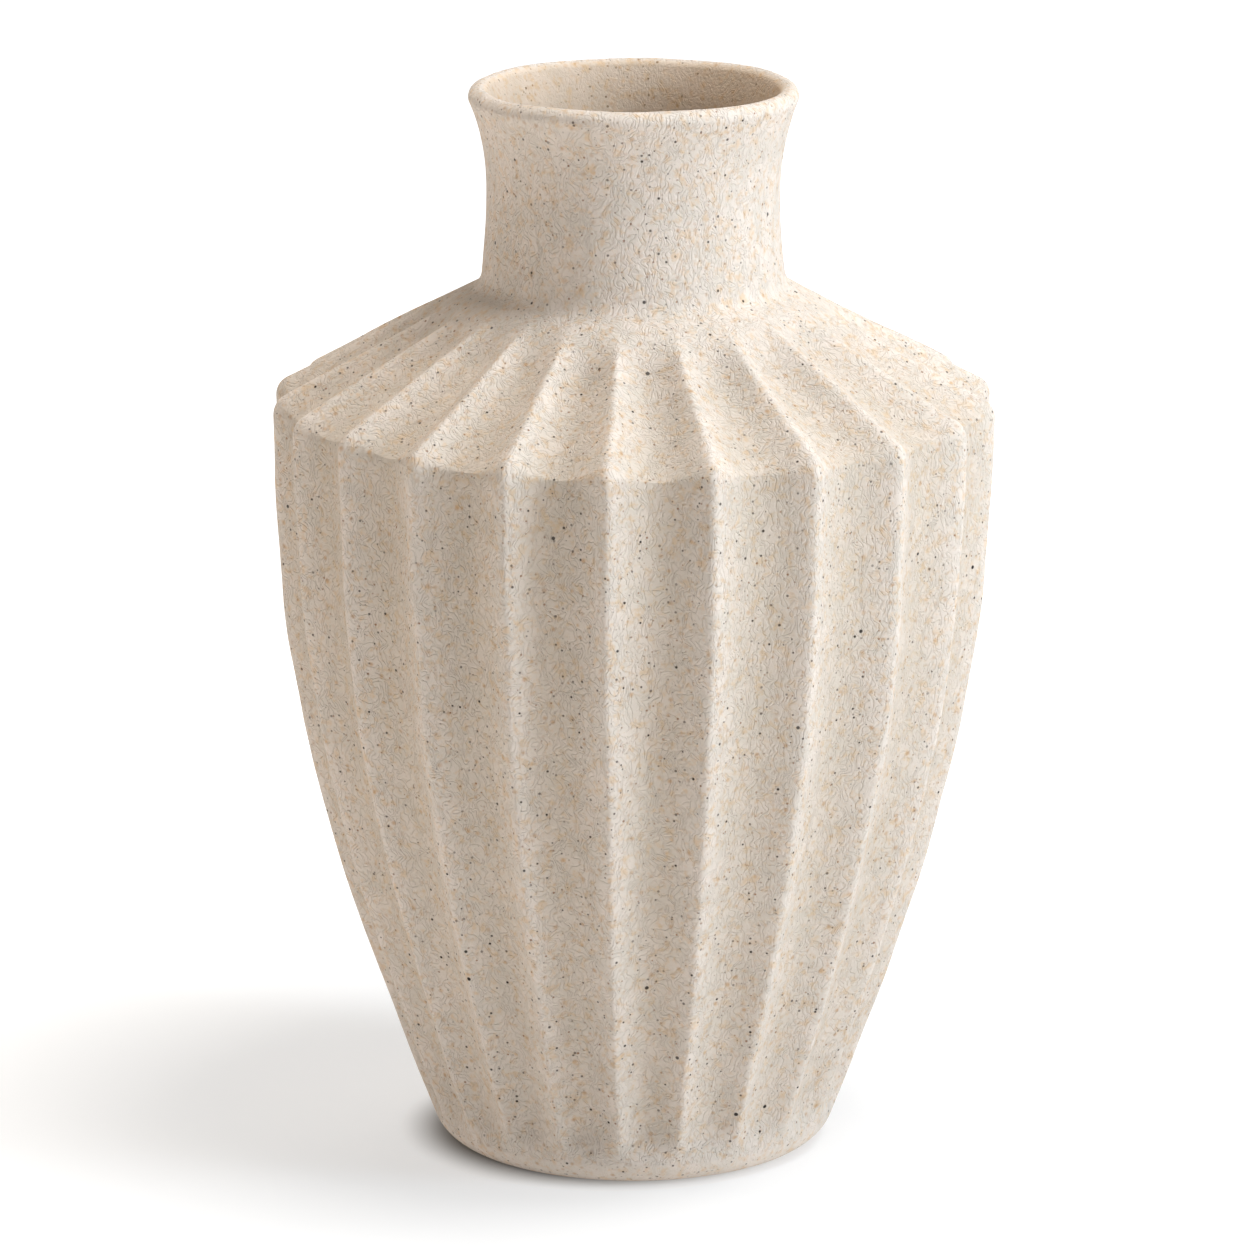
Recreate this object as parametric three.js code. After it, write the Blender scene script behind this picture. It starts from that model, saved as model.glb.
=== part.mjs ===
// A fluted stoneware vase, standing on z = 0 with its axis on Z. Millimetres, +Z up, front towards -Y.
// It is built up from the foot in sections, as a potter lutes it: each section is one mesh, and two
// sections meet on a level face. Only the glaze inside is a skin of its own.
import * as THREE from "three";

// The whole vase
const HEIGHT = 300;
const FINEST_WALL = 5.6; // of the neck, and of the body at the bottom of a flute

// The foot
const REST_RADIUS = 46.1; // outer edge of the ring that touches the table
const FOOT_ROUND = 11;
const FOOT_BORE = 35;
const FOOT_BORE_TAPER = 2;
const FLOOR_THICKNESS = 7;

// The body wall, from the foot to the shoulder's edge
const FOOT_LEAN = THREE.MathUtils.degToRad(20.9);
const EDGE_RADIUS = 100.6; // where wall and shoulder would meet if the edge were sharp
const EDGE_HEIGHT = 213.6;
const EDGE_LEAN = THREE.MathUtils.degToRad(1.5);
const EDGE_ROUND = 6;
const LOWER_SWELL = 112; // length of the wall curve's handle at the foot
const UPPER_SWELL = 60.5; // and at the shoulder's edge
const WALL_JOINT = 110; // height of the joint between the wall's lower and upper section
const SHOULDER_JOINT = 200; // and between the wall and the shoulder

// The shoulder and the neck
const SHOULDER_PITCH = THREE.MathUtils.degToRad(28.1);
const NECK_ROOT_HEIGHT = 248; // top of the hollow between shoulder and neck
const WAIST_RADIUS = 40.4;
const WAIST_HEIGHT = 272;
const NECK_HOLLOW = 200; // radius of the neck's curve below the waist
const LIP_RADIUS = 45.5;
const RIM_JOINT = 287;

// The flutes
const FLUTES = 22;
const FLUTE_DEPTH = 5.8; // at the shoulder's edge; it shrinks with the vase's radius
const RIDGE_SOFTNESS = 0.04; // rounding of a ridge, as a share of a flute's width
const FLUTE_FOOT_FADE = 18; // height where the flutes reach their full depth
const FLUTE_NECK_START = 47; // radius on the shoulder where they begin
const FLUTE_NECK_FULL = 64; // radius on the shoulder where they are full
const FLUTE_PHASE = THREE.MathUtils.degToRad(-0.4);
const HAND_DRIFT = THREE.MathUtils.degToRad(-3.8); // the flutes are spaced by eye, wider to one side

// The glaze inside
const GLAZE_THICKNESS = 0.6;
const GLAZE_GAP = 0.15;
const GLAZE_TOP = 238;

// How finely the sections are cut
const STEPS_PER_FLUTE = 6;
const PLAIN_STEPS = 66;
const GLAZE_STEPS = 44;

const CLAY = { color: "#d8ccbc", roughness: 0.9, metalness: 0 };
const BARE_CLAY = { color: "#c9b8a2", roughness: 0.95, metalness: 0 };
const GLAZE = { color: "#d6cabb", roughness: 0.3, metalness: 0 };

const point = (radius, height) => new THREE.Vector2(radius, height);
const LEVEL = point(1, 0);
const heading = (lean) => new THREE.Vector2(Math.sin(lean), Math.cos(lean));
const along = (start, direction, length) => start.clone().addScaledVector(direction, length);

// Where the line through a along u crosses the line through b along v.
function crossing(a, u, b, v) {
  const gap = b.clone().sub(a);
  return along(a, u, gap.cross(v) / u.cross(v));
}

// The arc of the given radius that rounds a corner between two directions of travel.
function roundedCorner(corner, arriving, leaving, radius) {
  const turn = arriving.angleTo(leaving);
  const inset = radius * Math.tan(turn / 2);
  const start = along(corner, arriving, -inset);
  const end = along(corner, leaving, inset);
  const toCentre = leaving.clone().sub(arriving).normalize();
  const centre = along(corner, toCentre, radius / Math.cos(turn / 2));
  const clockwise = arriving.cross(leaving) < 0;
  const from = start.clone().sub(centre).angle();
  const to = end.clone().sub(centre).angle();
  return { start, end, arc: new THREE.EllipseCurve(centre.x, centre.y, radius, radius, from, to, clockwise) };
}

// The outline's curves, from the foot up
const shoulderHeading = heading(SHOULDER_PITCH - Math.PI / 2);
const footArc = new THREE.EllipseCurve(
  REST_RADIUS, FOOT_ROUND, FOOT_ROUND, FOOT_ROUND, -Math.PI / 2, -FOOT_LEAN, false,
);
const footTop = footArc.getPoint(1);
const edge = roundedCorner(point(EDGE_RADIUS, EDGE_HEIGHT), heading(EDGE_LEAN), shoulderHeading, EDGE_ROUND);
const wallCurve = new THREE.CubicBezierCurve(
  footTop,
  along(footTop, heading(FOOT_LEAN), LOWER_SWELL),
  along(edge.start, heading(EDGE_LEAN), -UPPER_SWELL),
  edge.start,
);

const neckCentre = point(WAIST_RADIUS + NECK_HOLLOW, WAIST_HEIGHT);
const neckRootAngle = Math.asin((WAIST_HEIGHT - NECK_ROOT_HEIGHT) / NECK_HOLLOW);
const neckArc = new THREE.EllipseCurve(
  neckCentre.x, neckCentre.y, NECK_HOLLOW, NECK_HOLLOW, Math.PI + neckRootAngle, Math.PI, true,
);
const neckRootTop = neckArc.getPoint(0);
const neckRootHeading = heading(-neckRootAngle);
const neckCorner = crossing(edge.end, shoulderHeading, neckRootTop, neckRootHeading);
const neckRootTurn = shoulderHeading.angleTo(neckRootHeading);
const neckRoot = roundedCorner(
  neckCorner, shoulderHeading, neckRootHeading,
  neckCorner.distanceTo(neckRootTop) / Math.tan(neckRootTurn / 2),
);
const shoulderLine = new THREE.LineCurve(edge.end, neckRoot.start);

// The lip is a full round as thick as the neck's wall, and the flare is the arc that runs from the waist
// into it.
const lipRound = FINEST_WALL / 2;
const lipCentre = point(LIP_RADIUS - lipRound, HEIGHT - lipRound);
const lipInset = WAIST_RADIUS - lipCentre.x;
const lipRise = lipCentre.y - WAIST_HEIGHT;
const flareRadius = (lipInset ** 2 + lipRise ** 2 - lipRound ** 2) / (2 * (lipRound - lipInset));
const flareAngle = Math.asin(lipRise / (flareRadius + lipRound));
const flareArc = new THREE.EllipseCurve(
  WAIST_RADIUS + flareRadius, WAIST_HEIGHT, flareRadius, flareRadius, Math.PI, Math.PI - flareAngle, true,
);
const lipArc = new THREE.EllipseCurve(
  lipCentre.x, lipCentre.y, lipRound, lipRound, -flareAngle, Math.PI - flareAngle, false,
);

// How deep the flutes are cut at a point of the outline.
function fluteDepth(at) {
  const fromFoot = THREE.MathUtils.smoothstep(at.y, footTop.y, FLUTE_FOOT_FADE);
  const toNeck = at.y > EDGE_HEIGHT
    ? THREE.MathUtils.smoothstep(at.x, FLUTE_NECK_START, FLUTE_NECK_FULL)
    : 1;
  return (FLUTE_DEPTH * at.x * fromFoot * toNeck) / EDGE_RADIUS;
}

// Stations are points of the outline with the direction that faces out of the clay there.
function stations(curve, steps) {
  return Array.from({ length: steps + 1 }, (_, i) => {
    const tangent = curve.getTangent(i / steps);
    return { at: curve.getPoint(i / steps), out: point(tangent.y, -tangent.x) };
  });
}

const footStations = stations(footArc, 4);
const wallStations = stations(wallCurve, 9);
const edgeStations = stations(edge.arc, 3);
const shoulderStations = stations(shoulderLine, 5);
const neckRootStations = stations(neckRoot.arc, 3);
const neckStations = stations(neckArc, 3);
const flareStations = stations(flareArc, 4);
const lipStations = stations(lipArc, 7);

const outside = [
  ...footStations,
  ...wallStations.slice(1),
  ...edgeStations.slice(1),
  ...shoulderStations.slice(1),
  ...neckRootStations.slice(1),
  ...neckStations.slice(1),
  ...flareStations.slice(1),
];

// The outline set in by a thickness. The edge's own arc is left out, so the inside turns there in one facet.
function setIn(list, thickness) {
  return list.map(({ at, out }) => ({ at: along(at, out, -thickness(at)), out }));
}

const insideLine = [
  ...wallStations.slice(0, -1),
  ...shoulderStations.slice(1),
  ...neckRootStations.slice(1),
  ...neckStations.slice(1),
  ...flareStations.slice(1),
];
const inside = setIn(insideLine, (at) => FINEST_WALL + fluteDepth(at));
const glazeOutside = setIn(inside, () => GLAZE_GAP);
const glazeInside = setIn(inside, () => GLAZE_GAP + GLAZE_THICKNESS);

// The part of an outline between two levels, with its end points brought exactly onto them. The flutes are
// cut level there, so that the joint's face stays flat.
function cut(list, low, high) {
  const onLevel = (height) => {
    const above = list.findIndex(({ at }) => at.y >= height);
    const [a, b] = [list[Math.max(above - 1, 0)], list[above]];
    const share = a === b ? 0 : (height - a.at.y) / (b.at.y - a.at.y);
    const at = a.at.clone().lerp(b.at, share);
    at.y = height;
    return { at, out: LEVEL };
  };
  const clear = 0.2;
  const within = list.filter(({ at }) => at.y > low + clear && at.y < high - clear);
  return [onLevel(low), ...within, onLevel(high)];
}

// How far down between two ridges a point lies: 0 on a ridge, 1 at the bottom of the flute.
function scallop(share) {
  const fromRidge = 0.5 - Math.abs(share - 0.5);
  const rise = (distance) => (1 - 2 * distance) ** 2;
  return 1 - rise(Math.hypot(fromRidge, RIDGE_SOFTNESS)) / rise(RIDGE_SOFTNESS);
}

const fluteRounds = Array.from({ length: FLUTES * STEPS_PER_FLUTE }, (_, i) => {
  const even = FLUTE_PHASE + (2 * Math.PI * i) / (FLUTES * STEPS_PER_FLUTE);
  return {
    angle: even + HAND_DRIFT * Math.cos(even),
    scallop: scallop((i % STEPS_PER_FLUTE) / STEPS_PER_FLUTE),
  };
});

function plainRounds(steps) {
  return Array.from({ length: steps }, (_, i) => ({ angle: (2 * Math.PI * i) / steps, scallop: 0 }));
}

// The ring of points that a station makes when it goes round the axis. A station on the axis is one point.
function ring({ at, out, fluted }, rounds) {
  if (at.x === 0) return [new THREE.Vector3(0, 0, at.y)];
  return rounds.map((round) => {
    const { x, y } = along(at, out, fluted ? -fluteDepth(at) * round.scallop : 0);
    return new THREE.Vector3(x * Math.sin(round.angle), -x * Math.cos(round.angle), y);
  });
}

// One section: its outline runs up the outside and down the inside. It closes on itself, or starts and ends
// on the axis.
function section(name, outline, rounds, look) {
  const rings = outline.map((station) => ring(station, rounds));
  const starts = rings.map((_, i) => rings.slice(0, i).reduce((sum, one) => sum + one.length, 0));
  const corner = (i, j) => starts[i] + (j % rings[i].length);
  const index = [];
  const bands = rings[0].length === 1 ? rings.length - 1 : rings.length;
  for (let i = 0; i < bands; i += 1) {
    const next = (i + 1) % rings.length;
    for (let j = 0; j < rounds.length; j += 1) {
      if (rings[i].length > 1) index.push(corner(i, j), corner(i, j + 1), corner(next, j + 1));
      if (rings[next].length > 1) index.push(corner(i, j), corner(next, j + 1), corner(next, j));
    }
  }
  const geometry = new THREE.BufferGeometry().setFromPoints(rings.flat());
  geometry.setIndex(index);
  geometry.computeVertexNormals();
  const mesh = new THREE.Mesh(geometry, new THREE.MeshStandardMaterial(look));
  mesh.name = name;
  return mesh;
}

const plain = (radius, height) => ({ at: point(radius, height), out: LEVEL });
const fluted = (list) => list.map((station) => ({ ...station, fluted: true }));
const down = (list) => [...list].reverse();

const floorTop = footTop.y + FLOOR_THICKNESS;
const neckJoint = neckRoot.start.y;

function footRing() {
  const outline = [
    ...cut(outside, 0, footTop.y),
    plain(FOOT_BORE - FOOT_BORE_TAPER, footTop.y),
    plain(FOOT_BORE, 0),
  ];
  return section("foot_ring", outline, plainRounds(PLAIN_STEPS), BARE_CLAY);
}

function baseFloor() {
  const outline = [
    plain(0, footTop.y),
    ...fluted(cut(outside, footTop.y, floorTop)),
    plain(0, floorTop),
  ];
  return section("base_floor", outline, fluteRounds, CLAY);
}

function wallSection(name, low, high, rounds) {
  const outline = [...fluted(cut(outside, low, high)), ...down(cut(inside, low, high))];
  return section(name, outline, rounds, CLAY);
}

function rimLip() {
  const outline = [
    ...cut(outside, RIM_JOINT, outside.at(-1).at.y),
    ...lipStations.slice(1, -1),
    ...down(cut(inside, RIM_JOINT, inside.at(-1).at.y)),
  ];
  return section("rim_lip", outline, plainRounds(PLAIN_STEPS), CLAY);
}

function linerGlaze() {
  const bed = floorTop + GLAZE_GAP;
  const outline = [
    plain(0, bed),
    ...cut(glazeOutside, bed, GLAZE_TOP),
    ...down(cut(glazeInside, bed + GLAZE_THICKNESS, GLAZE_TOP)),
    plain(0, bed + GLAZE_THICKNESS),
  ];
  return section("liner_glaze", outline, plainRounds(GLAZE_STEPS), GLAZE);
}

const vase = new THREE.Group();
vase.add(
  footRing(),
  baseFloor(),
  wallSection("lower_wall", floorTop, WALL_JOINT, fluteRounds),
  wallSection("upper_wall", WALL_JOINT, SHOULDER_JOINT, fluteRounds),
  wallSection("shoulder", SHOULDER_JOINT, neckJoint, fluteRounds),
  wallSection("neck", neckJoint, RIM_JOINT, plainRounds(PLAIN_STEPS)),
  rimLip(),
  linerGlaze(),
);

export default vase;
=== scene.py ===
import math

import bpy
import numpy as np
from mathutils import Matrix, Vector


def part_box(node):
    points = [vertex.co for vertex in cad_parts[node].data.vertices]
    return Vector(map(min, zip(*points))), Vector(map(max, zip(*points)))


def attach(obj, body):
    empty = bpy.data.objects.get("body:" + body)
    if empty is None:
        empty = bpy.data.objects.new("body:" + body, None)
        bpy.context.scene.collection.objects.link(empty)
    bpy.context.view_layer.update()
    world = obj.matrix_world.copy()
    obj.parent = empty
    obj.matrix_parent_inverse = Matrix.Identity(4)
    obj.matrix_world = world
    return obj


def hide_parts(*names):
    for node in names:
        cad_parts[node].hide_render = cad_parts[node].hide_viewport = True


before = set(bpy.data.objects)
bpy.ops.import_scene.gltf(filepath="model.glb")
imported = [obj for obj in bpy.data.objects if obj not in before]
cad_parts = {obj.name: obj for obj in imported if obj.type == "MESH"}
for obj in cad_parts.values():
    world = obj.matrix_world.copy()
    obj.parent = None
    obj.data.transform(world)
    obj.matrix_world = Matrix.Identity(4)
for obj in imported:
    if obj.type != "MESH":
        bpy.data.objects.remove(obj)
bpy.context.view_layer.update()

MM = 0.001
DEG = math.pi / 180

# ---------------------------------------------------------------- the vase's own measures

# Levels of the luted joints, the lip, the floor and the glaze line.
LIP_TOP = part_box("rim_lip")[1][2]
FOOT_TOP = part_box("base_floor")[0][2]
FLOOR_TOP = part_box("lower_wall")[0][2]
WALL_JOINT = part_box("upper_wall")[0][2]
SHOULDER_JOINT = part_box("shoulder")[0][2]
NECK_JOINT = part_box("neck")[0][2]
RIM_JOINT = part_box("rim_lip")[0][2]
GLAZE_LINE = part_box("liner_glaze")[1][2]
JOINTS = (FOOT_TOP, FLOOR_TOP, WALL_JOINT, SHOULDER_JOINT, NECK_JOINT, RIM_JOINT)

# The turned outline, from the foot up. Leans are out from upright.
FINEST_WALL = 5.6 * MM
REST_RADIUS = 46.1 * MM  # of the ring that the vase stands on
FOOT_ROUND = 11 * MM
FOOT_BORE = 35 * MM  # the recess under the foot
FOOT_BORE_TAPER = 2 * MM
FOOT_BORE_EDGE = 0.8 * MM
FOOT_LEAN = 20.9 * DEG
LOWER_SWELL = 112 * MM  # how far the belly holds to the foot's lean
UPPER_SWELL = 60.5 * MM  # and to the wall's lean at the edge
EDGE_RADIUS = 100.6 * MM
EDGE_HEIGHT = 213.6 * MM
EDGE_LEAN = 1.5 * DEG
EDGE_ROUND = 6 * MM
SHOULDER_PITCH = 28.1 * DEG
NECK_ROOT_HEIGHT = 248 * MM
WAIST_RADIUS = 40.4 * MM
WAIST_HEIGHT = 272 * MM
NECK_HOLLOW = 200 * MM  # radius of the hollow curve up to the waist
LIP_RADIUS = 45.5 * MM
INSIDE_CORNER = 12 * MM

FLUTES = 22
FLUTE_DEPTH = 5.8 * MM
RIDGE_SOFTNESS = 0.07  # as a share of a flute's width
FLUTE_FOOT_FADE = 18 * MM  # the height where the flutes are first cut to their full depth
FLUTE_NECK_START = 47 * MM  # on the shoulder, the radii where they begin and where they are full
FLUTE_NECK_FULL = 64 * MM
FLUTE_PHASE = -0.4 * DEG
HAND_DRIFT = -3.8 * DEG  # how far the spacing, judged by eye, drifts round the vase

# How far a hand-thrown, hand-cut vase wanders from its drawn shape, over what length, and a seed for each
# of the three directions.
SLOW_WANDER = 0.35 * MM
SLOW_WANDER_LENGTH = 40 * MM
SLOW_SEEDS = (3, 5, 7)
QUICK_WANDER = 0.05 * MM
QUICK_WANDER_LENGTH = 11 * MM
QUICK_SEEDS = (11, 13, 17)
WANDER_START = 45 * MM  # the height where it is first full
WAVES_CROSSED = 14
SHORTEST_WAVE, LONGEST_WAVE = 0.7, 1.6  # as shares of the length asked for

GLAZE_GAP = 0.15 * MM
GLAZE_THICKNESS = 0.6 * MM
GLAZE_COVE = 5 * MM

COLUMNS_PER_FLUTE = 24
RIDGE_CROWDING = 0.55  # columns stand closer at a ridge, where the clay turns fastest
WALL_INSIDE_THINNING = 3  # the hidden inside of the wall keeps every third row
SHOULDER_INSIDE_THINNING = 2
GLAZE_THINNING = 4  # and the glaze keeps every fourth column
LEAST_ROW_GAP = 0.1 * MM


# ---------------------------------------------------------------- the turned outline

def heading(lean):
    """A direction of travel up the outline, leaning out from upright."""
    return np.array([math.sin(lean), math.cos(lean)])


def crossing(a, u, b, v):
    """Where the line through a along u meets the line through b along v."""
    gap = np.subtract(b, a)
    return a + u * (gap[0] * v[1] - gap[1] * v[0]) / (u[0] * v[1] - u[1] * v[0])


def arc(centre, radius, start, end, steps):
    angles = np.linspace(start, end, steps + 1)
    return np.stack([centre[0] + radius * np.cos(angles), centre[1] + radius * np.sin(angles)], axis=1)


def line(start, end, steps):
    share = np.linspace(0, 1, steps + 1)[:, None]
    return np.asarray(start) * (1 - share) + np.asarray(end) * share


def swell(p0, p1, p2, p3, steps):
    """The long belly line, as a potter's template gives it."""
    t = np.linspace(0, 1, steps + 1)[:, None]
    return (1 - t) ** 3 * p0 + 3 * (1 - t) ** 2 * t * p1 + 3 * (1 - t) * t * t * p2 + t ** 3 * p3


def rounded_corner(corner, arriving, leaving, radius, steps):
    turn = math.acos(float(arriving @ leaving))
    start = corner - arriving * radius * math.tan(turn / 2)
    inward = leaving - arriving
    centre = corner + inward / np.linalg.norm(inward) * radius / math.cos(turn / 2)
    end = corner + leaving * radius * math.tan(turn / 2)
    first = math.atan2(start[1] - centre[1], start[0] - centre[0])
    last = math.atan2(end[1] - centre[1], end[0] - centre[0])
    sweep = (last - first + math.pi) % (2 * math.pi) - math.pi
    return arc(centre, radius, first, first + sweep, steps)


def joined(*curves):
    """Curves end to end, with the point that two of them share kept once."""
    return np.concatenate([curves[0]] + [curve[1:] for curve in curves[1:]])


def facing_out(points):
    """The sideways direction, away from the axis, at each point of a line that runs up the wall."""
    step = np.gradient(points, axis=0)
    step /= np.linalg.norm(step, axis=1)[:, None]
    return np.stack([step[:, 1], -step[:, 0]], axis=1)


def set_in(points, thickness):
    """The line moved into the wall by a thickness."""
    return points - facing_out(points) * np.reshape(thickness, (-1, 1))


def eased(value, start, end):
    """0 up to the start and 1 from the end on, with a smooth climb between them."""
    share = np.clip((value - start) / (end - start), 0, 1)
    return share * share * (3 - 2 * share)


def flute_depth(points):
    """How deep the flutes are cut at points of the outline."""
    radius, height = points[:, 0], points[:, 1]
    from_foot = eased(height, FOOT_TOP, FLUTE_FOOT_FADE)
    to_neck = np.where(height > EDGE_HEIGHT, eased(radius, FLUTE_NECK_START, FLUTE_NECK_FULL), 1.0)
    return FLUTE_DEPTH * radius / EDGE_RADIUS * from_foot * to_neck


def with_levels(points, levels):
    """The line with a point exactly on each level that it crosses."""
    for level in levels:
        for i in np.nonzero((points[:-1, 1] - level) * (points[1:, 1] - level) <= 0)[0][::-1]:
            low, high = points[i], points[i + 1]
            share = (level - low[1]) / (high[1] - low[1])
            on_level = [low[0] * (1 - share) + high[0] * share, level]
            if abs(low[1] - level) < LEAST_ROW_GAP:
                points[i] = on_level
            elif abs(high[1] - level) < LEAST_ROW_GAP:
                points[i + 1] = on_level
            else:
                points = np.insert(points, i + 1, [on_level], axis=0)
    return points


def outlines():
    """The line up the outside and round the lip, and the line up the inside."""
    foot = arc((REST_RADIUS, FOOT_ROUND), FOOT_ROUND, -math.pi / 2, -FOOT_LEAN, steps=16)
    shoulder_way = heading(SHOULDER_PITCH - math.pi / 2)
    edge_way = heading(EDGE_LEAN)
    edge_corner = np.array([EDGE_RADIUS, EDGE_HEIGHT])
    edge = rounded_corner(edge_corner, edge_way, shoulder_way, EDGE_ROUND, steps=14)
    belly = foot[-1] + heading(FOOT_LEAN) * LOWER_SWELL
    breast = edge[0] - edge_way * UPPER_SWELL
    wall = swell(foot[-1], belly, breast, edge[0], steps=128)

    root_angle = math.asin((WAIST_HEIGHT - NECK_ROOT_HEIGHT) / NECK_HOLLOW)
    neck_way = heading(-root_angle)
    neck_centre = (WAIST_RADIUS + NECK_HOLLOW, WAIST_HEIGHT)
    neck = arc(neck_centre, NECK_HOLLOW, math.pi + root_angle, math.pi, steps=18)
    neck_corner = crossing(edge[-1], shoulder_way, neck[0], neck_way)
    turn = math.acos(float(shoulder_way @ neck_way))
    root_round = float(np.linalg.norm(neck_corner - neck[0])) / math.tan(turn / 2)
    root = rounded_corner(neck_corner, shoulder_way, neck_way, root_round, steps=12)
    shoulder = line(edge[-1], root[0], steps=40)

    # The flare's radius is the one that makes it run smoothly into the full-round lip.
    lip_round = FINEST_WALL / 2
    lip_centre = (LIP_RADIUS - lip_round, LIP_TOP - lip_round)
    inset = WAIST_RADIUS - lip_centre[0]
    rise = lip_centre[1] - WAIST_HEIGHT
    flare_radius = (inset ** 2 + rise ** 2 - lip_round ** 2) / (2 * (lip_round - inset))
    flare_angle = math.asin(rise / (flare_radius + lip_round))
    flare_centre = (WAIST_RADIUS + flare_radius, WAIST_HEIGHT)
    flare = arc(flare_centre, flare_radius, math.pi, math.pi - flare_angle, steps=22)
    lip = arc(lip_centre, lip_round, -flare_angle, math.pi - flare_angle, steps=26)

    wall_inside = set_in(wall, FINEST_WALL + flute_depth(wall))
    shoulder_inside = set_in(shoulder, FINEST_WALL + flute_depth(shoulder))
    rising = wall_inside[-1] - wall_inside[-2]
    sloped = shoulder_inside[1] - shoulder_inside[0]
    rising, sloped = rising / np.linalg.norm(rising), sloped / np.linalg.norm(sloped)
    corner = crossing(wall_inside[-1], rising, shoulder_inside[0], sloped)
    bend = rounded_corner(corner, rising, sloped, INSIDE_CORNER, steps=10)
    below_bend = wall_inside[:, 1] < bend[0, 1] - LEAST_ROW_GAP
    past_bend = shoulder_inside[:, 0] < bend[-1, 0] - LEAST_ROW_GAP
    wall_inside = wall_inside[below_bend][::WALL_INSIDE_THINNING]
    shoulder_inside = shoulder_inside[past_bend][:-1:SHOULDER_INSIDE_THINNING]
    upper = joined(root, neck, flare)
    upper_inside = set_in(upper, FINEST_WALL + flute_depth(upper))
    inside = np.concatenate([wall_inside, bend, shoulder_inside, upper_inside[:-1]])
    return joined(foot, wall, edge, shoulder, root, neck, flare, lip), inside


# ---------------------------------------------------------------- from the outline to the clay

def waves(places, length, seed):
    """A smooth random value, about -1 to 1, that changes over a length, made of waves that cross."""
    chance = np.random.default_rng(seed)
    ways = chance.normal(size=(WAVES_CROSSED, 3))
    ways /= np.linalg.norm(ways, axis=1)[:, None]
    lengths = length * chance.uniform(SHORTEST_WAVE, LONGEST_WAVE, WAVES_CROSSED)
    starts = chance.uniform(0, 2 * math.pi, WAVES_CROSSED)
    crossed = sum(
        np.sin(places @ way * 2 * math.pi / long + start) for way, long, start in zip(ways, lengths, starts))
    return crossed / math.sqrt(2 * WAVES_CROSSED)


def handmade(places):
    """Places moved by the small wander of the hand; the foot, which was ground level, stays true."""
    fade = eased(places[..., 2], 0, WANDER_START)
    slow = np.stack([waves(places, SLOW_WANDER_LENGTH, seed) for seed in SLOW_SEEDS], axis=-1)
    quick = np.stack([waves(places, QUICK_WANDER_LENGTH, seed) for seed in QUICK_SEEDS], axis=-1)
    return places + (SLOW_WANDER * slow + QUICK_WANDER * quick) * fade[..., None]


def columns():
    """Each column's angle round the vase, and its share of the way from one ridge to the next."""
    even = np.arange(COLUMNS_PER_FLUTE) / COLUMNS_PER_FLUTE
    share = np.tile(even - RIDGE_CROWDING * np.sin(2 * math.pi * even) / (2 * math.pi), FLUTES)
    flute = np.repeat(np.arange(FLUTES), COLUMNS_PER_FLUTE)
    level = FLUTE_PHASE + 2 * math.pi * (flute + share) / FLUTES
    return level + HAND_DRIFT * np.cos(level), share


def scallop(share):
    """How far down between two ridges: 0 on a ridge, 1 at the bottom of the flute."""
    from_ridge = 0.5 - np.abs(share - 0.5)
    top = (1 - 2 * RIDGE_SOFTNESS) ** 2
    return 1 - (1 - 2 * np.hypot(from_ridge, RIDGE_SOFTNESS)) ** 2 / top


def surface(points, fluted):
    """The grid of places that a line makes round the axis: a row for each point, a column for each angle."""
    angle, share = columns()
    cut = flute_depth(points)[:, None] * scallop(share)[None, :] * fluted
    out = facing_out(points)
    radius = points[:, :1] - out[:, :1] * cut
    height = points[:, 1:] - out[:, 1:] * cut
    return handmade(np.stack([radius * np.sin(angle), -radius * np.cos(angle), height], axis=-1))


def normals(grid):
    along = np.gradient(grid, axis=0)
    beside = np.roll(grid, -1, axis=1) - np.roll(grid, 1, axis=1)
    facing = np.cross(beside, along)
    return facing / np.linalg.norm(facing, axis=2)[:, :, None]


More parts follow.
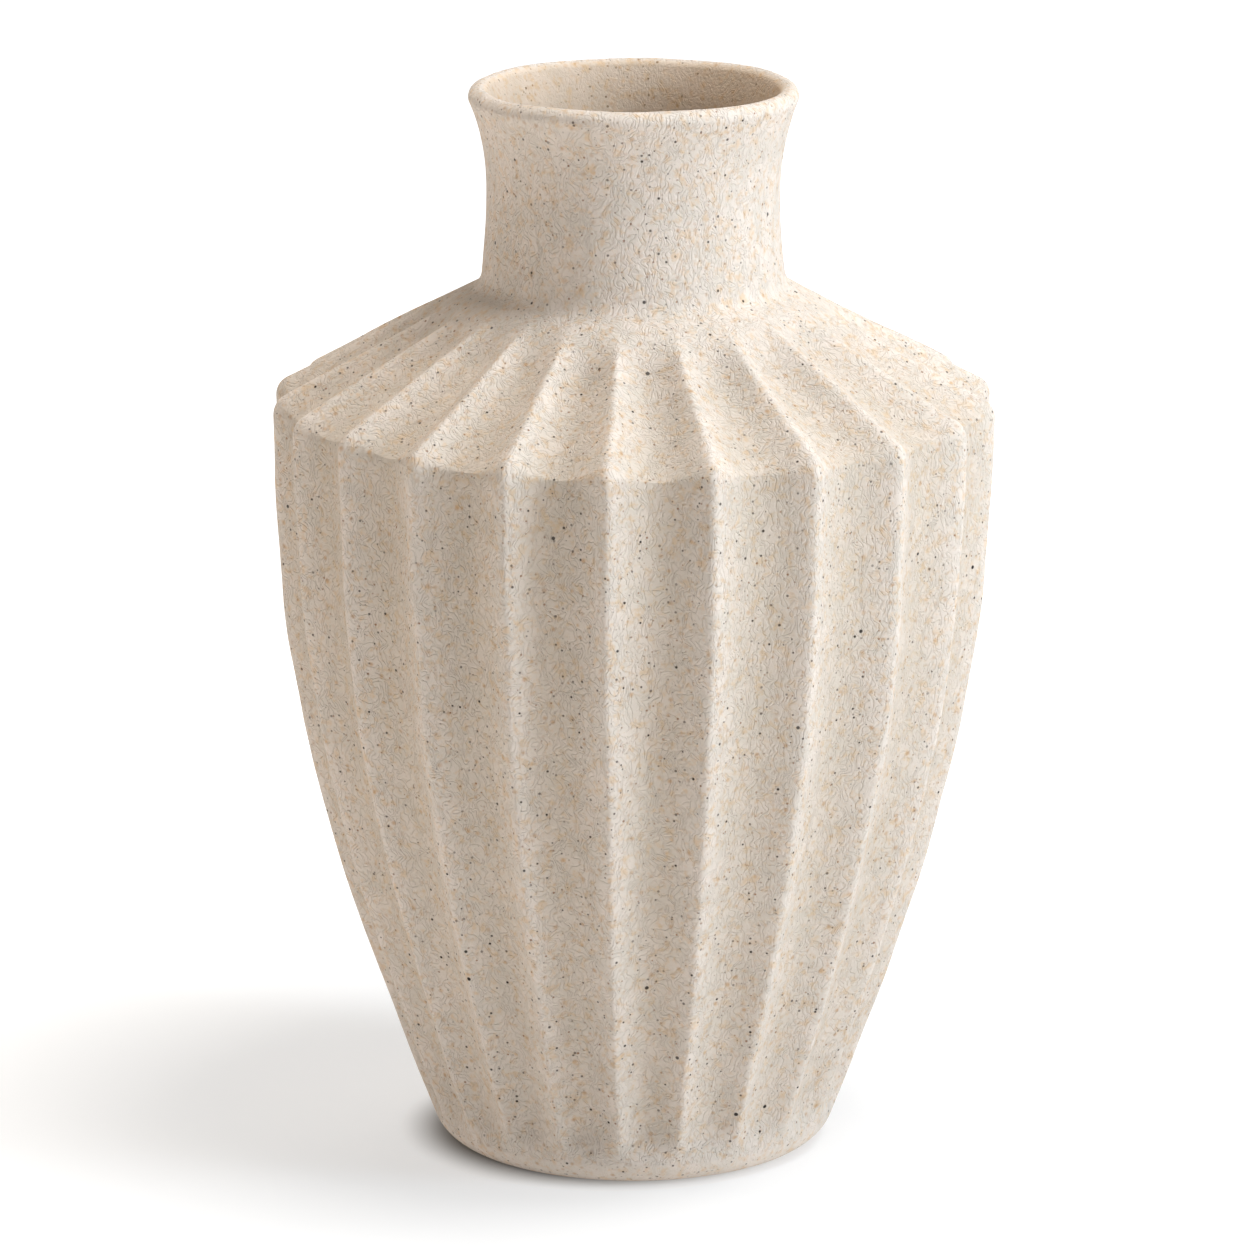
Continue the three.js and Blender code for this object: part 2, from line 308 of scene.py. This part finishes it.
class Skin:
    """Rows of places with their normals, stacked into one closed mesh. Inside a run of rows it is smooth;
    from one run to the next, and from the last back to the first, it is a flat luted or ground face."""

    def __init__(self):
        self.rows = []
        self.facing = []
        self.smooth = []

    def run(self, rows, facing):
        self.rows += list(rows)
        self.facing += list(facing)
        self.smooth += [True] * (len(rows) - 1) + [False]
        return self

    def mesh(self, name, bottom=None, top=None):
        """Closes the stack on itself, or, given two levels, on a point of the axis at each end."""
        count = len(self.rows[0])
        here = np.arange(count)
        next_ = (here + 1) % count
        places = np.concatenate(self.rows)
        faces = []
        facing = []
        for i in range(len(self.rows) - (bottom is not None)):
            k = (i + 1) % len(self.rows)
            low, high = i * count, k * count
            quads = np.stack([here + low, next_ + low, next_ + high, here + high], axis=1)
            faces += quads.tolist()
            if self.smooth[i]:
                near, far = self.facing[i], self.facing[k]
                given = np.stack([near[here], near[next_], far[next_], far[here]], axis=1)
            else:
                a, b, c = (places[quads[:, j]] for j in range(3))
                flat = np.cross(b - a, c - b)
                given = np.repeat((flat / np.linalg.norm(flat, axis=1)[:, None])[:, None], 4, axis=1)
            facing += given.reshape(-1, 3).tolist()
        if bottom is not None:
            under, over = len(places), len(places) + 1
            last = (len(self.rows) - 1) * count
            places = np.concatenate([places, [[0, 0, bottom], [0, 0, top]]])
            faces += [[under, int(b), int(a)] for a, b in zip(here, next_)]
            faces += [[over, int(last + a), int(last + b)] for a, b in zip(here, next_)]
            facing += [[0, 0, -1]] * (3 * count) + [[0, 0, 1]] * (3 * count)
        mesh = bpy.data.meshes.new(name)
        mesh.from_pydata(places.tolist(), [], faces)
        mesh.polygons.foreach_set("use_smooth", [True] * len(faces))
        mesh.normals_split_custom_set(facing)
        # The depth below the ridges, stored for the painted shade that darkens the flute hollows.
        hollow_shade_mask = mesh.attributes.new("painted_flute_shade", "FLOAT", "POINT")
        hollow_shade_mask.data.foreach_set("value", np.resize(self.hollow(), len(places)))
        mesh.update()
        return mesh

    def hollow(self):
        """How far each place lies below the ridge beside it, from 0 on a ridge to 1 at the deepest: the mask
        of the painted shade in the flutes.
        """
        rows = np.array(self.rows)
        line = np.stack([np.hypot(rows[..., 0], rows[..., 1]), rows[..., 2]])
        columns_each = rows.shape[1] // FLUTES
        beside = np.repeat(line[:, :, ::columns_each], columns_each, axis=2)
        return np.clip(np.hypot(*(line - beside)) / FLUTE_DEPTH, 0, 1).ravel()


def clay_piece(node, mesh, finish):
    """One piece of the vase, which stands for its plain CAD node."""
    piece = bpy.data.objects.new(node + "_piece", mesh)
    bpy.context.scene.collection.objects.link(piece)
    mesh.materials.append(finish)
    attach(piece, "root")
    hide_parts(node)


def build_clay(stoneware, bare):
    """The luted sections, cut from one continuous wall so that their surfaces meet without a step."""
    outside, inside = outlines()
    outside, inside = with_levels(outside, JOINTS), with_levels(inside, JOINTS)
    wall_line = np.concatenate([outside, inside[::-1]])
    places = np.concatenate([surface(outside, True), surface(inside, False)[::-1]])
    facing = normals(places)

    def rows(low, high):
        """The rows from one joint to the next: those of the outside, then those of the inside."""
        within = (wall_line[:, 1] >= low) & (wall_line[:, 1] <= high)
        found = np.nonzero(within)[0]
        return found[found < len(outside)], found[found >= len(outside)]

    for node, low, high in (
        ("lower_wall", FLOOR_TOP, WALL_JOINT),
        ("upper_wall", WALL_JOINT, SHOULDER_JOINT),
        ("shoulder", SHOULDER_JOINT, NECK_JOINT),
        ("neck", NECK_JOINT, RIM_JOINT),
    ):
        outer, inner = rows(low, high)
        skin = Skin().run(places[outer], facing[outer]).run(places[inner], facing[inner])
        clay_piece(node, skin.mesh(node), stoneware)

    over_the_lip = np.concatenate(rows(RIM_JOINT, LIP_TOP))
    rim = Skin().run(places[over_the_lip], facing[over_the_lip])
    clay_piece("rim_lip", rim.mesh("rim_lip"), stoneware)

    outer, _ = rows(FOOT_TOP, FLOOR_TOP)
    disc = Skin().run(places[outer], facing[outer])
    clay_piece("base_floor", disc.mesh("base_floor", FOOT_TOP, FLOOR_TOP), stoneware)

    outer, _ = rows(0, FOOT_TOP)
    angle, _ = columns()
    # The wall of the recess, from the top down, and the eased edge that it ends in.
    bore = [
        (FOOT_BORE - FOOT_BORE_TAPER, FOOT_TOP),
        (FOOT_BORE - FOOT_BORE_EDGE / 3, FOOT_BORE_EDGE * 1.5),
        (FOOT_BORE, FOOT_BORE_EDGE * 0.6),
        (FOOT_BORE + FOOT_BORE_EDGE * 0.4, FOOT_BORE_EDGE * 0.2),
        (FOOT_BORE + FOOT_BORE_EDGE, 0),
    ]
    around = np.stack([np.sin(angle), -np.cos(angle), 0 * angle], axis=-1)
    hollow = np.array([r * around + [0, 0, h] for r, h in bore])
    foot = Skin().run(places[outer], facing[outer]).run(hollow, normals(hollow))
    clay_piece("foot_ring", foot.mesh("foot_ring"), bare)
    return inside


def build_liner(inside, glaze):
    """The glaze lining, a hair off the clay, with a cove where it ran down and pooled on the floor."""
    bed = FLOOR_TOP + GLAZE_GAP
    pool = bed + GLAZE_THICKNESS
    back = with_levels(set_in(inside, GLAZE_GAP), (bed, GLAZE_LINE))
    back = back[(back[:, 1] >= bed) & (back[:, 1] <= GLAZE_LINE)]
    front = with_levels(set_in(inside, GLAZE_GAP + GLAZE_THICKNESS), (pool + GLAZE_COVE, GLAZE_LINE))
    front = front[(front[:, 1] >= pool + GLAZE_COVE) & (front[:, 1] <= GLAZE_LINE)]
    cove = arc(front[0] - [GLAZE_COVE, 0], GLAZE_COVE, -math.pi / 2, 0, steps=8)
    outer = surface(back, False)[:, ::GLAZE_THINNING]
    inner = surface(joined(cove, front), False)[::-1, ::GLAZE_THINNING]
    facing = normals(np.concatenate([outer, inner]))
    lining = Skin().run(outer, facing[:len(outer)]).run(inner, facing[len(outer):])
    clay_piece("liner_glaze", lining.mesh("liner_glaze", bed, pool), glaze)


# ---------------------------------------------------------------- finishes

# What fired stoneware shows, with sizes in millimetres and shares of a whole.
CLOUD_SIZE = 8
CLOUD_LEVELS = (0.35, 0.65)  # the noise levels between which a cloud comes in
BLUSH_SIZE = 2.4
BLUSH_LEVELS = (0.48, 0.7)
BLUSH_MOST = 0.5
# Painted shade: the flute hollows are darkened browner in the clay's colour, most at the bottom of each
# flute.
PAINTED_HOLLOW_SHADE = "#a8957b"
PAINTED_HOLLOW_SHADE_MOST = 0.34
# Painted shade: the furrows of the drag marks are darkened in the clay's colour.
DRAG_MARK_SHADE_BROWN = "#a8957c"
# Painted shade: the inside of the vase is coloured a warmer, darker tan.
INSIDE_SHADE_TAN = "#cda97c"
INSIDE_SHADE_MOST = 0.32
MARKS_LEFT_INSIDE = 0.25  # no flute was cut there, so little is left of the tool's drag
# A radius times how squarely the clay there faces the axis: between these it comes to count as the inside.
FACING_OUT, FACING_IN = -10, -32

DRAG_SPACING = 1.3  # drawn coarser than the finest real marks, which are too fine to show
DRAG_RISE = 0.34  # a mark is as many times taller than it is wide as one over this
DRAG_CURL = 7.0
DRAG_CURL_SIZE = 5
DRAG_WIDTH = 0.1  # how near the noise is to its middle level within a mark
NOISE_MIDDLE = 0.5
GRIT_SIZE = 0.8  # drawn coarser than the real grit, which is a sand too fine to show

# The grains in the clay. For each: spacing, radius and soft edge, how many of the places hold one, the share
# that the faintest keeps, a number that shifts it off the others, its colour and its strength.
GRAINS = {
    "iron_bleed": (2.6, 1.15, 0.90, 0.85, 0.3, 3.0, "#b27f42", 0.55),
    "brown_iron": (2.1, 0.52, 0.36, 0.90, 0.3, 11.0, "#84562e", 0.90),
    "grey_grog": (1.8, 0.46, 0.34, 0.85, 0.2, 17.0, "#6b5b49", 0.65),
    "dark_iron": (2.3, 0.54, 0.28, 0.85, 0.5, 23.0, "#33281e", 1.00),
    "iron_spot": (8.2, 0.75, 0.25, 0.35, 0.8, 37.0, "#1d1816", 1.00),
}
SHIFT_Y = 2.3
SHIFT_Z = 3.7
SMALLEST_GRAIN = 0.5  # as a share of the largest

STONEWARE = {"body": "#ddcfc2", "greyer": "#d5c9bc", "tan": "#d4ae7e"}
GLAZED_CLAY = {"body": "#c8ac88", "greyer": "#bfa27c", "tan": "#b98a54"}


def linear(hex_colour):
    """An sRGB hex colour as linear RGBA."""
    parts = [int(hex_colour[i:i + 2], 16) / 255 for i in (1, 3, 5)]
    return [c / 12.92 if c <= 0.04045 else ((c + 0.055) / 1.055) ** 2.4 for c in parts] + [1.0]


def add(tree, kind, inputs, **settings):
    """Adds a node with its settings; each input is a value, or another node's output to link."""
    node = tree.nodes.new(kind)
    for name, value in settings.items():
        setattr(node, name, value)
    for socket, value in inputs.items():
        if isinstance(value, bpy.types.NodeSocket):
            tree.links.new(value, node.inputs[socket])
        else:
            node.inputs[socket].default_value = value
    return node


def new_finish(name):
    finish = bpy.data.materials.new(name)
    finish.use_nodes = True
    tree = finish.node_tree
    tree.nodes.clear()
    return finish, tree


def in_millimetres(tree):
    """Places on the piece in millimetres, so that each pattern's scale is one over a real size."""
    place = add(tree, "ShaderNodeTexCoord", {}).outputs["Object"]
    return add(tree, "ShaderNodeVectorMath", {0: place, "Scale": 1 / MM}, operation="SCALE").outputs[0]


def grains(tree, place, apart, radius, soft, share, faintest, shift):
    """Round grains scattered through the clay, which show where the surface cuts them: 0 to 1."""
    moved = (shift, SHIFT_Y * shift, SHIFT_Z * shift)
    shifted = add(tree, "ShaderNodeVectorMath", {0: place, 1: moved}).outputs[0]
    cells = add(tree, "ShaderNodeTexVoronoi", {"Vector": shifted, "Scale": 1 / apart, "Randomness": 1.0})
    chance = add(tree, "ShaderNodeSeparateColor", {"Color": cells.outputs["Color"]}).outputs
    edge = add(tree, "ShaderNodeMapRange", {
        "Value": chance["Red"], "From Min": 1 - share, "From Max": 1.0,
        "To Min": SMALLEST_GRAIN * radius / apart, "To Max": radius / apart,
    }).outputs[0]
    core = add(tree, "ShaderNodeMath", {0: edge, 1: soft / apart}, operation="SUBTRACT").outputs[0]
    dot = add(tree, "ShaderNodeMapRange", {
        "Value": cells.outputs["Distance"], "From Min": core, "From Max": edge, "To Min": 1.0, "To Max": 0.0,
    }, interpolation_type="SMOOTHSTEP").outputs[0]
    there = add(tree, "ShaderNodeMath", {
        0: chance["Red"], 1: 1 - share,
    }, operation="GREATER_THAN").outputs[0]
    shown = add(tree, "ShaderNodeMath", {0: dot, 1: there}, operation="MULTIPLY").outputs[0]
    strength = add(tree, "ShaderNodeMapRange", {
        "Value": chance["Green"], "To Min": faintest, "To Max": 1.0,
    }).outputs[0]
    return add(tree, "ShaderNodeMath", {0: shown, 1: strength}, operation="MULTIPLY").outputs[0]


def clouded(tree, place, size, levels):
    """Slow cloudiness of a size in millimetres, spread from 0 to 1 between two noise levels."""
    noise = add(tree, "ShaderNodeTexNoise", {
        "Vector": place, "Scale": 1 / size, "Detail": 3.0, "Roughness": 0.6,
    }).outputs["Fac"]
    return add(tree, "ShaderNodeMapRange", {
        "Value": noise, "From Min": levels[0], "From Max": levels[1],
    }, interpolation_type="SMOOTHSTEP").outputs[0]


def clay_colour(tree, place, marks, body, greyer, tan, drag_mark_shade):
    """Iron-bearing clay: a clouded body, tan bleed round buried iron, painted shade that darkens the flute
    hollows browner, painted shade in the furrows of the drag marks, then brown, grey and black grains."""
    hollow_shade_mask = add(tree, "ShaderNodeAttribute", {}, attribute_name="painted_flute_shade").outputs["Fac"]
    layers = [
        (clouded(tree, place, CLOUD_SIZE, CLOUD_LEVELS), 1.0, greyer),
        (clouded(tree, place, BLUSH_SIZE, BLUSH_LEVELS), BLUSH_MOST, tan),
        # painted shade in the flute hollows
        (hollow_shade_mask, PAINTED_HOLLOW_SHADE_MOST, PAINTED_HOLLOW_SHADE),
        # painted shade in the drag-mark furrows
        (marks, drag_mark_shade, DRAG_MARK_SHADE_BROWN),
    ]
    for *scatter, tint, most in GRAINS.values():
        layers.append((grains(tree, place, *scatter), most, tint))

    colour = linear(body)
    for where, most, tint in layers:
        amount = add(tree, "ShaderNodeMath", {0: where, 1: most}, operation="MULTIPLY").outputs[0]
        colour = add(tree, "ShaderNodeMix", {
            0: amount, 6: colour, 7: linear(tint),
        }, data_type="RGBA").outputs[2]
    return colour


def drag_marks(tree, place):
    """Short curled marks about a millimetre apart, drawn out upwards: 1 in a mark, 0 on the clay between."""
    bend = add(tree, "ShaderNodeTexNoise", {
        "Vector": place, "Scale": 1 / DRAG_CURL_SIZE, "Detail": 1.0,
    }).outputs["Color"]
    curled = add(tree, "ShaderNodeVectorMath", {
        0: bend, 1: (DRAG_CURL, DRAG_CURL, DRAG_CURL), 2: place,
    }, operation="MULTIPLY_ADD").outputs[0]
    drawn = add(tree, "ShaderNodeVectorMath", {
        0: curled, 1: (1.0, 1.0, DRAG_RISE),
    }, operation="MULTIPLY").outputs[0]
    drag = add(tree, "ShaderNodeTexNoise", {
        "Vector": drawn, "Scale": 1 / DRAG_SPACING, "Detail": 1.0, "Roughness": 0.35,
    }).outputs["Fac"]
    off_middle = add(tree, "ShaderNodeMath", {0: drag, 1: NOISE_MIDDLE}, operation="SUBTRACT").outputs[0]
    from_mark = add(tree, "ShaderNodeMath", {0: off_middle}, operation="ABSOLUTE").outputs[0]
    return add(tree, "ShaderNodeMapRange", {
        "Value": from_mark, "From Min": 0.0, "From Max": DRAG_WIDTH, "To Min": 1.0, "To Max": 0.0,
    }, interpolation_type="SMOOTHSTEP").outputs[0]


def clay_relief(tree, place, marks, drag_depth, grit_depth):
    """The dry fired skin: the drag marks cut in, and fine grit standing out."""
    grit = add(tree, "ShaderNodeTexNoise", {
        "Vector": place, "Scale": 1 / GRIT_SIZE, "Detail": 2.0,
    }).outputs["Fac"]
    scored = add(tree, "ShaderNodeBump", {
        "Height": marks, "Distance": drag_depth * MM, "Strength": 1.0,
    }, invert=True).outputs[0]
    return add(tree, "ShaderNodeBump", {
        "Height": grit, "Distance": grit_depth * MM, "Strength": 1.0, "Normal": scored,
    }).outputs[0]


def facing_in(tree, place):
    """1 where the clay faces the vase's middle, 0 where it faces out."""
    from_axis = add(tree, "ShaderNodeVectorMath", {
        0: place, 1: (1.0, 1.0, 0.0),
    }, operation="MULTIPLY").outputs[0]
    facing = add(tree, "ShaderNodeNewGeometry", {}).outputs["Normal"]
    lean = add(tree, "ShaderNodeVectorMath", {
        0: from_axis, 1: facing,
    }, operation="DOT_PRODUCT").outputs["Value"]
    return add(tree, "ShaderNodeMapRange", {
        "Value": lean, "From Min": FACING_OUT, "From Max": FACING_IN,
    }, interpolation_type="SMOOTHSTEP").outputs[0]


def fired_clay(name, body, greyer, tan, roughness, drag_mark_shade, drag_depth, grit_depth):
    """Stoneware of one make-up, with its drag marks and grit that many millimetres deep. Inside the vase it
    is painted a warmer, darker tan, as shade."""
    finish, tree = new_finish(name)
    place = in_millimetres(tree)
    inside = facing_in(tree, place)
    kept = add(tree, "ShaderNodeMapRange", {"Value": inside, "To Min": 1.0, "To Max": MARKS_LEFT_INSIDE})
    marks = add(tree, "ShaderNodeMath", {
        0: drag_marks(tree, place), 1: kept.outputs[0],
    }, operation="MULTIPLY").outputs[0]
    # The inside of the vase gets painted shade: a warmer, darker tan.
    inside_shade = add(tree, "ShaderNodeMath", {0: inside, 1: INSIDE_SHADE_MOST}, operation="MULTIPLY").outputs[0]
    colour = add(tree, "ShaderNodeMix", {
        0: inside_shade, 6: clay_colour(tree, place, marks, body, greyer, tan, drag_mark_shade), 7: linear(INSIDE_SHADE_TAN),
    }, data_type="RGBA").outputs[2]
    shader = add(tree, "ShaderNodeBsdfPrincipled", {
        "Base Color": colour,
        "Normal": clay_relief(tree, place, marks, drag_depth, grit_depth),
        "Roughness": roughness,
        "IOR": 1.5,
        "Specular IOR Level": 0.25,
    })
    add(tree, "ShaderNodeOutputMaterial", {"Surface": shader.outputs[0]})
    return finish


def speckled_stoneware():
    """Speckled stoneware, thrown, fluted with a loop tool and fired unglazed: a dry matt skin with no shine,
    warm off-white, peppered with iron and scored by the drag of the wet tool."""
    return fired_clay(
        "speckled_stoneware", **STONEWARE, roughness=0.85, drag_mark_shade=0.1, drag_depth=0.14, grit_depth=0.14)


def bare_stoneware():
    """The same clay turned smooth on the foot: as pale and matt, with hardly any drag marks left."""
    return fired_clay(
        "bare_stoneware", **STONEWARE, roughness=0.92, drag_mark_shade=0.1, drag_depth=0.04, grit_depth=0.13)


def clear_liner_glaze():
    """Clear glaze poured over the inside and tipped out: it wets the clay darker and browner, and gives it
    a soft sheen."""
    return fired_clay(
        "clear_liner_glaze", **GLAZED_CLAY, roughness=0.35, drag_mark_shade=0.0, drag_depth=0.0, grit_depth=0.2)


# ---------------------------------------------------------------- the studio

# Places and lengths are metres, apart from the lens, which is millimetres.
FOCAL_LENGTH = 214.3
SENSOR_WIDTH = 36
CAMERA_PLACE = (-0.0018, -2.0209, 0.66065)
CAMERA_DIP = 14.27 * DEG
LAMPS_AIM = (0, 0, 0.15)

FLOOR_RADIUS = 40
FLOOR_SIDES = 96
TABLE_WHITE = "#afadab"
TABLE_GLOW = 0.6  # the table is lit from below too, so the shadow across it stays pale
FAR_GLOW = 1.0
GLOW_RISE = (0.08, 0.50)  # how far from the vase the glow starts to grow, and where it is full
# The painted contact shadow under the foot is centred a little left of and behind the vase's middle.
PAINTED_FOOT_SHADOW_MIDDLE = (-0.006, 0.003, 0)
PAINTED_FOOT_SHADOW_REACH = (0.044, 0.062)  # painted contact shadow: close round the foot there is no glow, which comes in between these radii
HORIZON_TOP = 0.12  # the pale backdrop ends here, as a sine of the angle above level

# Each softbox: azimuth from the front towards the right, height angle, distance, width, height, watts, tint.
SOFTBOXES = {
    "key_low": (68, 8, 1.7, 0.40, 0.40, 7.5, "#dceeff"),
    "key_tall": (70, 24, 1.7, 0.40, 0.40, 12.5, "#dceeff"),
    "key_high": (75, 58, 1.7, 0.50, 0.50, 5, "#dceeff"),
    "over_right": (64, 74, 1.7, 0.60, 0.60, 22, "#fffdfa"),
    "over_back": (200, 70, 1.7, 0.60, 0.60, 7, "#fffdfa"),
    "rim_left": (266, 16, 1.7, 0.40, 0.60, 4.5, "#ffeed8"),
}


def softbox(name, azimuth, rise, distance, width, height, watts, tint):
    light = bpy.data.lights.new(name, "AREA")
    light.shape = "RECTANGLE"
    light.size = width
    light.size_y = height
    light.energy = watts
    light.color = linear(tint)[:3]
    lamp = bpy.data.objects.new(name, light)
    turn, rise = azimuth * DEG, rise * DEG
    way = Vector((math.sin(turn) * math.cos(rise), -math.cos(turn) * math.cos(rise), math.sin(rise)))
    lamp.location = Vector(LAMPS_AIM) + way * distance
    lamp.rotation_euler = way.to_track_quat("Z", "Y").to_euler()
    lamp.visible_camera = False
    bpy.context.scene.collection.objects.link(lamp)


def studio_air():
    """A far white backdrop along the horizon and below it, fading to a dark room above."""
    world = bpy.data.worlds.new("studio_air")
    world.use_nodes = True
    tree = world.node_tree
    tree.nodes.clear()
    way = add(tree, "ShaderNodeTexCoord", {}).outputs["Generated"]
    height = add(tree, "ShaderNodeSeparateXYZ", {0: way}).outputs["Z"]
    band = add(tree, "ShaderNodeMapRange", {
        "Value": height, "From Min": HORIZON_TOP / 2, "From Max": HORIZON_TOP, "To Min": 1.0, "To Max": 0.0,
    }).outputs[0]
    air = add(tree, "ShaderNodeBackground", {"Color": (1.0, 1.0, 1.0, 1.0), "Strength": band})
    add(tree, "ShaderNodeOutputWorld", {"Surface": air.outputs[0]})
    bpy.context.scene.world = world


def white_table():
    """A matt white sheet of acrylic, lit from within as well as from above: it has no shine and no grain, so
    the eye sees only the vase's pale shadow and a darker edge close under its foot, a painted contact shadow
    where the glow is taken away."""
    finish, tree = new_finish("white_table")
    place = add(tree, "ShaderNodeTexCoord", {}).outputs["Object"]
    away = add(tree, "ShaderNodeVectorMath", {0: place}, operation="LENGTH").outputs["Value"]
    glow = add(tree, "ShaderNodeMapRange", {
        "Value": away, "From Min": GLOW_RISE[0], "From Max": GLOW_RISE[1],
        "To Min": TABLE_GLOW, "To Max": FAR_GLOW,
    }, interpolation_type="SMOOTHSTEP").outputs[0]
    from_foot = add(tree, "ShaderNodeVectorMath", {
        0: place, 1: PAINTED_FOOT_SHADOW_MIDDLE,
    }, operation="DISTANCE").outputs["Value"]
    # Painted contact shadow: the glow is taken away in a ring round the foot.
    outside_painted_shadow = add(tree, "ShaderNodeMapRange", {
        "Value": from_foot, "From Min": PAINTED_FOOT_SHADOW_REACH[0], "From Max": PAINTED_FOOT_SHADOW_REACH[1],
    }, interpolation_type="SMOOTHSTEP").outputs[0]
    lit = add(tree, "ShaderNodeMath", {0: glow, 1: outside_painted_shadow}, operation="MULTIPLY").outputs[0]
    shader = add(tree, "ShaderNodeBsdfPrincipled", {
        "Base Color": linear(TABLE_WHITE),
        "Roughness": 0.9,
        "Specular IOR Level": 0.0,
        "Emission Color": linear("#ffffff"),
        "Emission Strength": lit,
    })
    add(tree, "ShaderNodeOutputMaterial", {"Surface": shader.outputs[0]})
    return finish


def studio_floor():
    mesh = bpy.data.meshes.new("studio_floor")
    turns = np.linspace(0, 2 * math.pi, FLOOR_SIDES, endpoint=False)
    edge = [(FLOOR_RADIUS * math.cos(turn), FLOOR_RADIUS * math.sin(turn), 0) for turn in turns]
    mesh.from_pydata(edge, [], [list(range(FLOOR_SIDES))])
    mesh.materials.append(white_table())
    floor = bpy.data.objects.new("studio_floor", mesh)
    bpy.context.scene.collection.objects.link(floor)


def build_studio():
    scene = bpy.context.scene
    camera = bpy.data.objects.new("camera", bpy.data.cameras.new("camera"))
    camera.data.lens = FOCAL_LENGTH
    camera.data.sensor_width = SENSOR_WIDTH
    camera.location = CAMERA_PLACE
    camera.rotation_euler = (math.pi / 2 - CAMERA_DIP, 0, 0)
    scene.collection.objects.link(camera)
    scene.camera = camera
    scene.view_settings.view_transform = "Standard"
    studio_air()
    for name, facts in SOFTBOXES.items():
        softbox(name, *facts)
    studio_floor()


build_studio()
inside_line = build_clay(speckled_stoneware(), bare_stoneware())
build_liner(inside_line, clear_liner_glaze())
